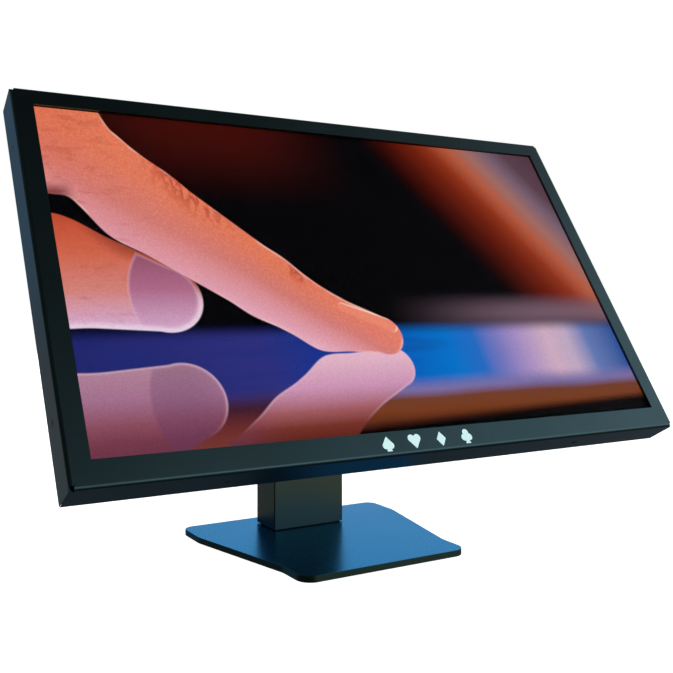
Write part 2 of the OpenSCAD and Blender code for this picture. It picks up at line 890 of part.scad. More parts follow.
module wall_screws() {
    color(paint_dark) head()
        wall_screw_places() sunk_screw(wall_screw_r, wall_screw_len, wall_screw_head_r);
}

module vesa_places(d) {
    facing_back(0, 0, d) at_corners(vesa_pitch / 2, vesa_pitch / 2) children();
}

module mounting_plate() {
    color(steel) head() difference() {
        slab(
            mounting_plate_side, mounting_plate_side,
            mounting_plate_d, mounting_plate_d + mounting_plate_t);
        vesa_places(mounting_plate_d - 1)
            cylinder(r = vesa_screw_r + thread_fit, h = mounting_plate_t + 2);
    }
}

module tilt_bracket() {
    color(paint_dark) head() difference() {
        union() {
            slab(tilt_plate_side, tilt_plate_side, housing_back_d, tilt_plate_back_d);
            for (x = [lug_in_x, -lug_out_x]) lug_plate(x, lug_t, lug_r, -plate_to_axis);
        }
        vesa_places(housing_back_d - 1)
            cylinder(r = vesa_screw_r + screw_clear, h = tilt_plate_t + 2);
        pin_bore(pin_fit);
    }
}

module mounting_screws() {
    color(steel) head() vesa_places(tilt_plate_back_d)
        screw(
            vesa_screw_r, tilt_plate_t + cover_sheet + mounting_plate_t,
            vesa_screw_r * 2, vesa_screw_r);
}

// ---- screen head: electronics ----

// Holes of the controller board, then of the button board
module board_hole_places(d_controller, d_buttons) {
    facing_back(0, board_z, d_controller)
        at_corners(board_w / 2 - board_hole_in, board_h / 2 - board_hole_in) children();
    for (x = [-1, 1]) facing_back(button_x + x * button_hole_x, button_z, d_buttons) children();
}

module board_standoffs() {
    color(steel) head() difference() {
        union() {
            facing_back(0, board_z, pan_back_d)
                at_corners(board_w / 2 - board_hole_in, board_h / 2 - board_hole_in)
                    cylinder(r = standoff_r, h = board_d - pan_back_d);
            for (x = [-1, 1])
                facing_back(button_x + x * button_hole_x, button_z, pan_back_d)
                    cylinder(r = standoff_r, h = button_board_d - pan_back_d);
        }
        board_hole_places(board_d - board_screw_len, button_board_d - board_screw_len)
            cylinder(r = board_screw_r + thread_fit, h = 2 * board_screw_len);
    }
}

module board_screws() {
    color(steel) head() board_hole_places(board_face_d, button_board_d + board_t)
        screw(board_screw_r, board_screw_len, board_screw_head_r, board_screw_r);
}

module controller_board() {
    color(circuit_green) head() difference() {
        union() {
            slab(board_w, board_h, board_d, board_face_d, z = board_z);
            for (c = chips)
                slab(c[2], c[3], board_face_d, board_face_d + c[4], x = c[0], z = board_z + c[1]);
            for (x = can_x)
                facing_back(x, board_z + can_z, board_face_d) cylinder(r = can_r, h = can_h);
        }
        board_hole_places(board_d - 1, board_d - 1)
            cylinder(r = board_screw_r + screw_clear, h = board_t + 2);
    }
}

// Body of a socket on the controller board, its mouth flush with the housing's bottom wall
module socket_body(x, w, t) {
    translate([x - w / 2, board_face_d - axis_d, housing_bottom]) cube([w, t, socket_len]);
}

module socket_windows() {
    sockets = [
        [hdmi_x, hdmi_w, hdmi_t], [vga_x, vga_w, vga_t],
        [usb_x, usb_w, usb_t], [power_x, power_w, power_t]];
    for (s = sockets)
        translate([s[0] - s[1] / 2 - slip, board_face_d - axis_d - slip, housing_bottom - 1])
            cube([s[1] + 2 * slip, s[2] + 2 * slip, cover_sheet + 2]);
}

// Hollow in a socket's mouth, wall thick all round, with a tongue across it
module socket_mouth(x, w, t, wall, tongue_t) {
    tongue_w = w - 4 * wall - 2 * slip;
    translate([x, board_face_d - axis_d + t / 2, housing_bottom]) difference() {
        translate([-w / 2 + wall, -t / 2 + wall, -1])
            cube([w - 2 * wall, t - 2 * wall, mouth_depth + 1]);
        translate([-tongue_w / 2, -tongue_t / 2, 1]) cube([tongue_w, tongue_t, mouth_depth]);
    }
}

module hdmi_socket() {
    color(steel) head() difference() {
        socket_body(hdmi_x, hdmi_w, hdmi_t);
        socket_mouth(hdmi_x, hdmi_w, hdmi_t, hdmi_wall, hdmi_tongue);
    }
}

module vga_socket() {
    mid_d = board_face_d - axis_d + vga_t / 2;
    out_z = housing_bottom - vga_out;
    color(steel) head() difference() {
        union() {
            socket_body(vga_x, vga_w, vga_t);
            translate([vga_x - vga_shell_w / 2, mid_d - vga_shell_t / 2, out_z])
                cube([vga_shell_w, vga_shell_t, vga_out + 1]);
            for (x = [-1, 1]) translate([vga_x + x * jack_x, mid_d, out_z])
                cylinder(r = jack_r, h = vga_out + 1, $fn = 6);
        }
        for (row = [-1:1], i = [-2:2])
            translate([vga_x + pin_pitch * i + pin_stagger * row, mid_d + pin_row * row, out_z - 1])
                cylinder(r = pin_hole_r, h = vga_out + 1);
        for (x = [-1, 1])
            translate([vga_x + x * jack_x, mid_d, out_z - 1]) cylinder(r = jack_hole_r, h = mouth_depth);
    }
}

module usb_socket() {
    color(steel) head() difference() {
        socket_body(usb_x, usb_w, usb_t);
        socket_mouth(usb_x, usb_w, usb_t, usb_wall, usb_tongue);
    }
}

module power_socket() {
    color(rubber) head() difference() {
        socket_body(power_x, power_w, power_t);
        translate([power_x, board_face_d - axis_d + power_t / 2, housing_bottom - 1]) difference() {
            cylinder(r = power_hole_r, h = mouth_depth + 2);
            translate([0, 0, 2]) cylinder(r = power_pin_r, h = mouth_depth + 1);
        }
    }
}

module touch_controller() {
    pad_w = touch_board_w - 2 * touch_pad_in;
    pad_h = touch_board_h - 2 * touch_pad_in;
    under_d = pan_back_d + touch_pad_t;
    face_d = under_d + board_t;
    color(circuit_green) head() {
        slab(pad_w, pad_h, pan_back_d, under_d, touch_board_x, touch_board_z);
        slab(touch_board_w, touch_board_h, under_d, face_d, touch_board_x, touch_board_z);
        slab(touch_chip_w, touch_chip_w, face_d, face_d + touch_chip_t, touch_board_x, touch_board_z);
    }
}

// Flat lead from the glass over the panel's top edge to the underside of the touch controller
module touch_ribbon() {
    top = glass_h / 2;
    low = touch_board_z + touch_board_h / 2 - touch_pad_in / 2;
    lying_d = pan_back_d + ribbon_t;
    color(bronze) head() {
        slab(touch_ribbon_w, ribbon_t, glass_d + 1, lying_d, touch_board_x, top + ribbon_t / 2);
        slab(touch_ribbon_w, top - low, pan_back_d, lying_d, touch_board_x, (top + low) / 2);
        slab(
            touch_ribbon_w, ribbon_t, pan_back_d, pan_back_d + touch_pad_t,
            touch_board_x, low + ribbon_t / 2);
    }
}

// Flat lead from the panel's back to the controller board
module panel_ribbon() {
    start = board_z + board_h / 2 - ribbon_under;
    color(bronze) head() {
        slab(
            panel_ribbon_w, panel_ribbon_run, pan_back_d, pan_back_d + ribbon_t,
            0, start + panel_ribbon_run / 2);
        slab(panel_ribbon_w, ribbon_t, pan_back_d, board_d, 0, start + ribbon_t / 2);
    }
}

// ---- screen head: buttons ----

// Places a shape on the line of button i, counted from the middle of the cover
module button_place(i, d) {
    facing_back(button_x + (i - 2) * button_pitch, button_z, d) children();
}

module button_board() {
    color(circuit_green) head() difference() {
        slab(
            button_board_w, button_board_h, button_board_d, button_board_d + board_t,
            button_x, button_z);
        board_hole_places(button_board_d, button_board_d - 1)
            cylinder(r = board_screw_r + screw_clear, h = board_t + 2);
    }
}

module button_switches() {
    color(steel) head() for (i = [0:4]) button_place(i, button_board_d + board_t)
        translate([-switch_w / 2, -switch_w / 2, 0]) cube([switch_w, switch_w, switch_t]);
}

// Flat lead from the button board to the controller board
module button_ribbon() {
    right = button_x - button_board_w / 2 + ribbon_under;
    left = board_w / 2 - 4 * ribbon_w;
    up = board_z - board_h / 2 + ribbon_under;
    lane = button_z + (button_board_h - ribbon_w) / 2;
    lying_d = pan_back_d + ribbon_t;
    color(bronze) head() {
        slab(right - left, ribbon_w, pan_back_d, lying_d, (right + left) / 2, lane);
        slab(ribbon_t, ribbon_w, pan_back_d, button_board_d, right - ribbon_t / 2, lane);
        slab(ribbon_w, up - lane, pan_back_d, lying_d, left + ribbon_w / 2, (up + lane) / 2);
        slab(ribbon_w, ribbon_t, pan_back_d, board_d, left + ribbon_w / 2, up - ribbon_t / 2);
    }
}

// A push button: a flange held behind the cover and a cap that stands out of it
module button(i) {
    color(rubber) head() button_place(i, button_d) {
        cylinder(r = button_flange_r, h = button_flange_t);
        cylinder(r = button_r, h = tray_depth + button_rise - button_d);
    }
}

module power_button() { button(0); }
module menu_button() { button(1); }
module up_button() { button(2); }
module down_button() { button(3); }
module input_button() { button(4); }

base_plate();
base_pad();
foot_screws();
column_foot();
column_shell();
column_rear_cover();
rear_cover_screws();
column_cap();
hinge_backing_plate();
hinge_fork();
fork_screws();
hinge_pin();
friction_washers();
spring_washers();
hinge_nut();
cable_clip();
bezel_tray();
suit_badge();
window_gasket();
touch_glass();
optical_bond();
panel_mid_frame();
lcd_cell();
diffuser_stack();
light_guide();
reflector_sheet();
led_bar();
panel_back_pan();
panel_rails();
rail_nuts();
rear_cover();
wall_screws();
electronics_housing();
housing_screws();
mounting_plate();
tilt_bracket();
mounting_screws();
board_standoffs();
controller_board();
board_screws();
hdmi_socket();
vga_socket();
usb_socket();
power_socket();
touch_controller();
touch_ribbon();
panel_ribbon();
button_board();
button_switches();
button_ribbon();
power_button();
menu_button();
up_button();
down_button();
input_button();
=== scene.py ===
"""Looks for a tabletop touch monitor on a tilting pedestal stand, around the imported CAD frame."""

import json
import math

import bmesh
import bpy
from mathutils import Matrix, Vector


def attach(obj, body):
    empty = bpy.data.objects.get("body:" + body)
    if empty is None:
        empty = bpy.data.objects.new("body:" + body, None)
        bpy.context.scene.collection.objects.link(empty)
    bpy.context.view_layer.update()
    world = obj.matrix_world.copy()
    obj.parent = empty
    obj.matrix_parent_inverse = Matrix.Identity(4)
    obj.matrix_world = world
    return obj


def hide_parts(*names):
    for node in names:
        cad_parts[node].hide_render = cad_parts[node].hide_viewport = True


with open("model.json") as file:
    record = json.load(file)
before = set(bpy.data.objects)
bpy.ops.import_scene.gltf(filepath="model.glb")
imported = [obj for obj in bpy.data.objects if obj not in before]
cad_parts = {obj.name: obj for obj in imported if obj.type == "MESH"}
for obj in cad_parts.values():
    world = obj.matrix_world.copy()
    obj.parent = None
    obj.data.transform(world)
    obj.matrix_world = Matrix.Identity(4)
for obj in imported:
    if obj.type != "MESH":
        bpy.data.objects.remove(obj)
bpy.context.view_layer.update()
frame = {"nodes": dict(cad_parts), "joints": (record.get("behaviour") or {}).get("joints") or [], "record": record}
NODES = frame["nodes"]

# ---- the screen head's own frame, read from the CAD ----

HINGE = next(j for j in frame["joints"] if j["name"] == "screen_tilt")
TILT = math.radians(-HINGE["range_deg"][0])
UP = Vector((0.0, math.sin(TILT), math.cos(TILT)))
OUT = Vector((0.0, -math.cos(TILT), math.sin(TILT)))
RIGHT = Vector((1.0, 0.0, 0.0))


def head_box(node):
    """Lowest and highest (right, up, out) of a node that lies square to the screen."""
    verts = NODES[node].data.vertices
    spans = [[v.co.dot(a) for v in verts] for a in (RIGHT, UP, OUT)]
    return [min(s) for s in spans], [max(s) for s in spans]


GLASS_LO, GLASS_HI = head_box("touch_glass")
CELL_LO = head_box("lcd_cell")[0]
BOND_HI = head_box("optical_bond")[1]
GLASS_UP = (GLASS_LO[1] + GLASS_HI[1]) / 2


def head_point(right, up, out):
    return RIGHT * right + UP * up + OUT * out


# ---- node helpers ----


class Field:
    """A number that varies over a surface, kept as the output of a chain of nodes."""

    def __init__(self, tree, socket):
        self.tree = tree
        self.socket = socket

    def _math(self, operation, *others, clamp=False):
        node = self.tree.nodes.new("ShaderNodeMath")
        node.operation = operation
        node.use_clamp = clamp
        for slot, value in zip(node.inputs, (self, *others)):
            if isinstance(value, Field):
                self.tree.links.new(value.socket, slot)
            else:
                slot.default_value = value
        return Field(self.tree, node.outputs[0])

    def __add__(self, other):
        return self._math("ADD", other)

    def __sub__(self, other):
        return self._math("SUBTRACT", other)

    def __mul__(self, other):
        return self._math("MULTIPLY", other)

    def __truediv__(self, other):
        return self._math("DIVIDE", other)

    def __neg__(self):
        return self._math("MULTIPLY", -1.0)

    __radd__ = __add__
    __rmul__ = __mul__

    def most(self, other):
        return self._math("MAXIMUM", other)

    def melt(self, other, width):
        """Smooth minimum of two distances."""
        return self._math("SMOOTH_MIN", other, width)

    def clamped(self):
        return self._math("ADD", 0.0, clamp=True)

    def root(self):
        return self._math("SQRT")

    def size(self):
        return self._math("ABSOLUTE")

    def step(self, start, end):
        """0 before start, 1 after end, soft in between."""
        node = self.tree.nodes.new("ShaderNodeMapRange")
        node.interpolation_type = "SMOOTHSTEP"
        self.tree.links.new(self.socket, node.inputs["Value"])
        low, high, rising = (start, end, True) if start < end else (end, start, False)
        node.inputs["From Min"].default_value = low
        node.inputs["From Max"].default_value = high
        node.inputs["To Min"].default_value = 0.0 if rising else 1.0
        node.inputs["To Max"].default_value = 1.0 if rising else 0.0
        return Field(self.tree, node.outputs["Result"])

    def ramp(self, *stops):
        """Colour socket of a ramp through (place, (r, g, b)) stops, in linear colour."""
        low, high = stops[0][0], stops[-1][0]
        place = ((self - low) / (high - low)).clamped()
        node = self.tree.nodes.new("ShaderNodeValToRGB")
        self.tree.links.new(place.socket, node.inputs[0])
        ramp = node.color_ramp
        while len(ramp.elements) < len(stops):
            ramp.elements.new(0.5)
        for element, (at, colour) in zip(ramp.elements, stops):
            element.position = (at - low) / (high - low)
        for element, (at, colour) in zip(ramp.elements, stops):
            element.color = (*colour, 1.0)
        return node.outputs["Color"]


def linear(red, green, blue):
    """Linear colour of 0 to 255 display values."""
    return tuple(
        (c / 12.92 if c <= 0.04045 else ((c + 0.055) / 1.055) ** 2.4)
        for c in (red / 255, green / 255, blue / 255)
    )


def mix(tree, factor, under, over):
    """Colour socket: under where factor is 0, over where it is 1."""
    node = tree.nodes.new("ShaderNodeMix")
    node.data_type = "RGBA"
    tree.links.new(factor.socket, node.inputs["Factor"])
    for slot, colour in ((node.inputs[6], under), (node.inputs[7], over)):
        if isinstance(colour, bpy.types.NodeSocket):
            tree.links.new(colour, slot)
        else:
            slot.default_value = (*colour, 1.0)
    return node.outputs[2]


def place(tree):
    """Socket of the point's place in the object's own frame, in metres."""
    return tree.nodes.new("ShaderNodeTexCoord").outputs["Object"]


def along(tree, point, axis, start=0.0):
    """How far point lies along axis, from start."""
    node = tree.nodes.new("ShaderNodeVectorMath")
    node.operation = "DOT_PRODUCT"
    tree.links.new(point, node.inputs[0])
    node.inputs[1].default_value = axis
    return Field(tree, node.outputs["Value"]) - start


def stretched(tree, point, scale):
    """point with each axis scaled."""
    node = tree.nodes.new("ShaderNodeMapping")
    tree.links.new(point, node.inputs["Vector"])
    node.inputs["Scale"].default_value = scale
    return node.outputs["Vector"]


def noise(tree, point, scale, detail=2.0, roughness=0.5):
    node = tree.nodes.new("ShaderNodeTexNoise")
    tree.links.new(point, node.inputs["Vector"])
    node.inputs["Scale"].default_value = scale
    node.inputs["Detail"].default_value = detail
    node.inputs["Roughness"].default_value = roughness
    return Field(tree, node.outputs["Fac"])


def bump(tree, height, strength, distance):
    node = tree.nodes.new("ShaderNodeBump")
    tree.links.new(height.socket, node.inputs["Height"])
    node.inputs["Strength"].default_value = strength
    node.inputs["Distance"].default_value = distance
    return node.outputs["Normal"]


def edge_mask(tree, radius):
    """1 on sharp edges, 0 on flats: how far the rounded normal leans from the flat one."""
    rounded = tree.nodes.new("ShaderNodeBevel")
    rounded.samples = 4
    rounded.inputs["Radius"].default_value = radius
    flat = tree.nodes.new("ShaderNodeNewGeometry").outputs["Normal"]
    node = tree.nodes.new("ShaderNodeVectorMath")
    node.operation = "DOT_PRODUCT"
    tree.links.new(rounded.outputs[0], node.inputs[0])
    tree.links.new(flat, node.inputs[1])
    return Field(tree, node.outputs["Value"]).step(0.985, 0.80)


def surface(name, **sockets):
    """A new material with one Principled shader; sockets are its constant inputs."""
    material = bpy.data.materials.new(name)
    material.use_nodes = True
    shader = material.node_tree.nodes["Principled BSDF"]
    for key, value in sockets.items():
        shader.inputs[key.replace("_", " ")].default_value = value
    return material, material.node_tree, shader


def connect(tree, shader, **fields):
    for key, value in fields.items():
        socket = value.socket if isinstance(value, Field) else value
        tree.links.new(socket, shader.inputs[key.replace("_", " ")])


# ---- materials ----

# Colour that the base top's gloss tends to at a glancing angle, to go with its painted blue reflection
GLANCING_TINT = (0.476, 0.711, 0.895, 1.0)
RUBBED_PAINT = (0.16, 0.18, 0.19)
BRIGHT_METAL = (0.8, 0.8, 0.8)
# Radii over which edges count as rubbed, in metres
PAINT_EDGE = 0.0006
FINE_EDGE = 0.0004
# Where the look of a chip starts and is full, behind the board's face, in metres
CHIP_START, CHIP_FULL = 0.0001, 0.0003


def satin_paint(name, colour, roughness, metallic, painted_top_reflection=None, peel=0.05):
    """Satin coat on sheet metal: fine orange peel, faint mottling, edges rubbed a bit brighter; faces turned up
    take a given top colour as a painted reflection of blue light from above.
    """
    material, tree, shader = surface(name, Metallic=metallic)
    if painted_top_reflection:
        shader.inputs["Specular Tint"].default_value = GLANCING_TINT
    point = place(tree)
    mottle = noise(tree, point, 14.0, 4.0)
    speck = noise(tree, point, 900.0, 2.0)
    base = mix(
        tree,
        (mottle * 0.6 + speck * 0.4).step(0.30, 0.72),
        tuple(c * 0.93 for c in colour),
        tuple(c * 1.07 for c in colour),
    )
    # Painted reflection: faces turned up take a blue colour that stands in for blue light reflected from above
    if painted_top_reflection:
        up = tree.nodes.new("ShaderNodeNewGeometry").outputs["Normal"]
        facing = along(tree, up, (0.0, 0.0, 1.0))
        painted_blue_reflection = mix(
            tree,
            (mottle * 0.5 + speck * 0.5).step(0.30, 0.72),
            tuple(c * 0.94 for c in painted_top_reflection),
            tuple(c * 1.06 for c in painted_top_reflection),
        )
        base = mix(tree, facing.step(0.55, 0.85), base, painted_blue_reflection)
    rubbed = edge_mask(tree, PAINT_EDGE) * noise(tree, point, 60.0, 3.0).step(0.40, 0.62)
    connect(
        tree,
        shader,
        Base_Color=mix(tree, rubbed * 0.35, base, RUBBED_PAINT),
        Roughness=mottle * 0.10 + speck * 0.05 + (roughness - 0.075),
        Normal=bump(tree, noise(tree, point, 1400.0, 1.0), peel, 0.0002),
    )
    return material


def plated_steel(name, colour, roughness, brush=(1.0, 60.0, 60.0)):
    """Zinc plate or bare metal with fine lines along one axis and dull patches."""
    material, tree, shader = surface(name, Metallic=1.0)
    point = place(tree)
    lines = noise(tree, stretched(tree, point, brush), 40.0, 3.0)
    patches = noise(tree, point, 45.0, 4.0)
    base = mix(
        tree,
        (lines * 0.5 + patches * 0.5).step(0.35, 0.68),
        tuple(c * 0.80 for c in colour),
        tuple(min(1.0, c * 1.12) for c in colour),
    )
    rubbed = edge_mask(tree, FINE_EDGE)
    connect(
        tree,
        shader,
        Base_Color=mix(tree, rubbed * 0.4, base, BRIGHT_METAL),
        Roughness=lines * 0.16 + patches * 0.14 + (roughness - 0.15),
        Normal=bump(tree, lines, 0.12, 0.0002),
    )
    return material


def moulded_plastic(name, colour, roughness, grain=2200.0, depth=0.10):
    """Moulded plastic or rubber: fine spark-eroded grain, slightly shinier where handled."""
    material, tree, shader = surface(name)
    point = place(tree)
    texture = noise(tree, point, grain, 2.0, 0.6)
    handled = noise(tree, point, 35.0, 3.0)
    base = mix(
        tree,
        handled.step(0.35, 0.65),
        tuple(c * 0.85 for c in colour),
        tuple(c * 1.20 for c in colour),
    )
    rubbed = edge_mask(tree, FINE_EDGE)
    connect(
        tree,
        shader,
        Base_Color=mix(tree, rubbed * 0.25, base, tuple(c * 2.2 + 0.01 for c in colour)),
        Roughness=handled * 0.18 + (roughness - 0.09),
        Normal=bump(tree, texture, depth, 0.0002),
    )
    return material


def printed_mark_painted_glow(name):
    """Pale printed ink, slightly raised, with a fine screen-print dot, and a faint painted glow."""
    material, tree, shader = surface(name)
    point = place(tree)
    dots = noise(tree, point, 3000.0, 1.0)
    connect(
        tree,
        shader,
        Base_Color=mix(tree, dots.step(0.3, 0.7), linear(186, 226, 228), linear(214, 246, 246)),
        Roughness=dots * 0.15 + 0.30,
        Normal=bump(tree, dots, 0.05, 0.0001),
    )
    # Painted glow: the ink gets a faint emission, so it reads bright though it is no lamp
    shader.inputs["Emission Color"].default_value = (*linear(200, 240, 240), 1.0)
    shader.inputs["Emission Strength"].default_value = 0.35
    return material


def circuit(name, face_out):
    """Green board with copper tracks under the mask, and dark packages behind its face."""
    material, tree, shader = surface(name)
    point = place(tree)
    tracks = tree.nodes.new("ShaderNodeTexBrick")
    tree.links.new(point, tracks.inputs["Vector"])
    tracks.inputs["Scale"].default_value = 180.0
    tracks.inputs["Mortar Size"].default_value = 0.035
    tracks.inputs["Color1"].default_value = (0.012, 0.10, 0.035, 1.0)
    tracks.inputs["Color2"].default_value = (0.016, 0.13, 0.045, 1.0)
    tracks.inputs["Mortar"].default_value = (0.05, 0.24, 0.08, 1.0)
    cells = tree.nodes.new("ShaderNodeTexVoronoi")
    tree.links.new(point, cells.inputs["Vector"])
    cells.inputs["Scale"].default_value = 260.0
    pads = Field(tree, cells.outputs["Distance"]).step(0.22, 0.14)
    board = mix(tree, pads * 0.8, tracks.outputs["Color"], (0.62, 0.55, 0.38))
    depth = along(tree, point, OUT)
    chips = depth.step(face_out - CHIP_START, face_out - CHIP_FULL)
    connect(
        tree,
        shader,
        Base_Color=mix(tree, chips, board, (0.014, 0.014, 0.015)),
        Metallic=pads * 0.7 * (chips * -1.0 + 1.0),
        Roughness=chips * 0.25 + 0.32,
        Normal=bump(tree, Field(tree, cells.outputs["Distance"]), 0.08, 0.0002),
    )
    return material


def flex_lead(name):
    """Amber polyimide film with copper tracks showing through."""
    material, tree, shader = surface(name)
    point = place(tree)
    wave = tree.nodes.new("ShaderNodeTexWave")
    wave.bands_direction = "X"
    tree.links.new(point, wave.inputs["Vector"])
    wave.inputs["Scale"].default_value = 320.0
    tracks = Field(tree, wave.outputs["Fac"]).step(0.45, 0.60)
    cloud = noise(tree, point, 60.0, 3.0)
    base = mix(tree, tracks, (0.30, 0.13, 0.025), (0.55, 0.28, 0.09))
    connect(
        tree,
        shader,
        Base_Color=mix(tree, cloud * 0.3, base, (0.22, 0.09, 0.02)),
        Metallic=tracks * 0.35,
        Roughness=cloud * 0.15 + 0.25,
        Normal=bump(tree, tracks, 0.10, 0.0001),
    )
    return material


def optical_sheet(name, colour, roughness):
    """Diffuser and reflector film with a fine prism ripple."""
    material, tree, shader = surface(name)
    point = place(tree)
    ripple = noise(tree, stretched(tree, point, (1.0, 30.0, 30.0)), 120.0, 2.0)
    connect(
        tree,
        shader,
        Base_Color=mix(tree, ripple.step(0.3, 0.7), tuple(c * 0.95 for c in colour), colour),
        Roughness=ripple * 0.20 + (roughness - 0.10),
        Normal=bump(tree, ripple, 0.10, 0.0001),
    )
    return material


def clear_sheet(name, tint, ior, roughness):
    """Clear glass or acrylic with a trace of smear in its gloss."""
    material, tree, shader = surface(name, Transmission_Weight=1.0, IOR=ior)
    point = place(tree)
    smear = noise(tree, stretched(tree, point, (1.0, 0.4, 0.4)), 18.0, 4.0)
    connect(
        tree,
        shader,
        Base_Color=mix(tree, smear.step(0.3, 0.7), tint, (1.0, 1.0, 1.0)),
        Roughness=smear * 0.04 + roughness,
        Normal=bump(tree, noise(tree, point, 60.0, 1.0), 0.01, 0.0001),
    )
    return material


# ---- the picture on the screen ----

# All places in the picture are in millimetres, right and up from the middle of the opening
MM = 1000.0
LIT_LEFT, LIT_RIGHT, LIT_BOTTOM, LIT_TOP = -263.9, 266.5, -148.3, 150.5
# Points and radii down a smooth pointing form, and down the folded form below it
LONG_FORM = (
    (-304, 176, 89),
    (-232, 104, 38),
    (-192, 59, 42),
    (-101, -15, 33),
    (-58, -48, 28),
    (-4, -64, 18),
)
PALM = ((-300, 92, 32), (-259, 86, 22))
SHORT_FORM = ((-310, -8, 52), (-271, -3, 48), (-189, -27, 30))
NAIL = (-150, -26, 66)
# Line that the reflections turn about, and how much lower the folded form's own line is
MIRROR_Z = -78.5
FOLD_DROP = 18
PICTURE_GLOW = 1.08


def tapered(x, z, points):
    """Distance to a chain of tapered round bars through (x, z, radius) points, negative inside."""
    whole = None
    for (ax, az, ar), (bx, bz, br) in zip(points, points[1:]):
        dx, dz = bx - ax, bz - az
        share = (((x - ax) * dx + (z - az) * dz) / (dx * dx + dz * dz)).clamped()
        off_x = x - ax - share * dx
        off_z = z - az - share * dz
        bar = (off_x * off_x + off_z * off_z).root() - (share * (br - ar) + ar)
        whole = bar if whole is None else whole.melt(bar, 10.0)
    return whole


def circle(x, z, spot):
    """Distance to a round (x, z, radius) spot, negative inside."""
    off_x, off_z = x - spot[0], z - spot[1]
    return (off_x * off_x + off_z * off_z).root() - spot[2]


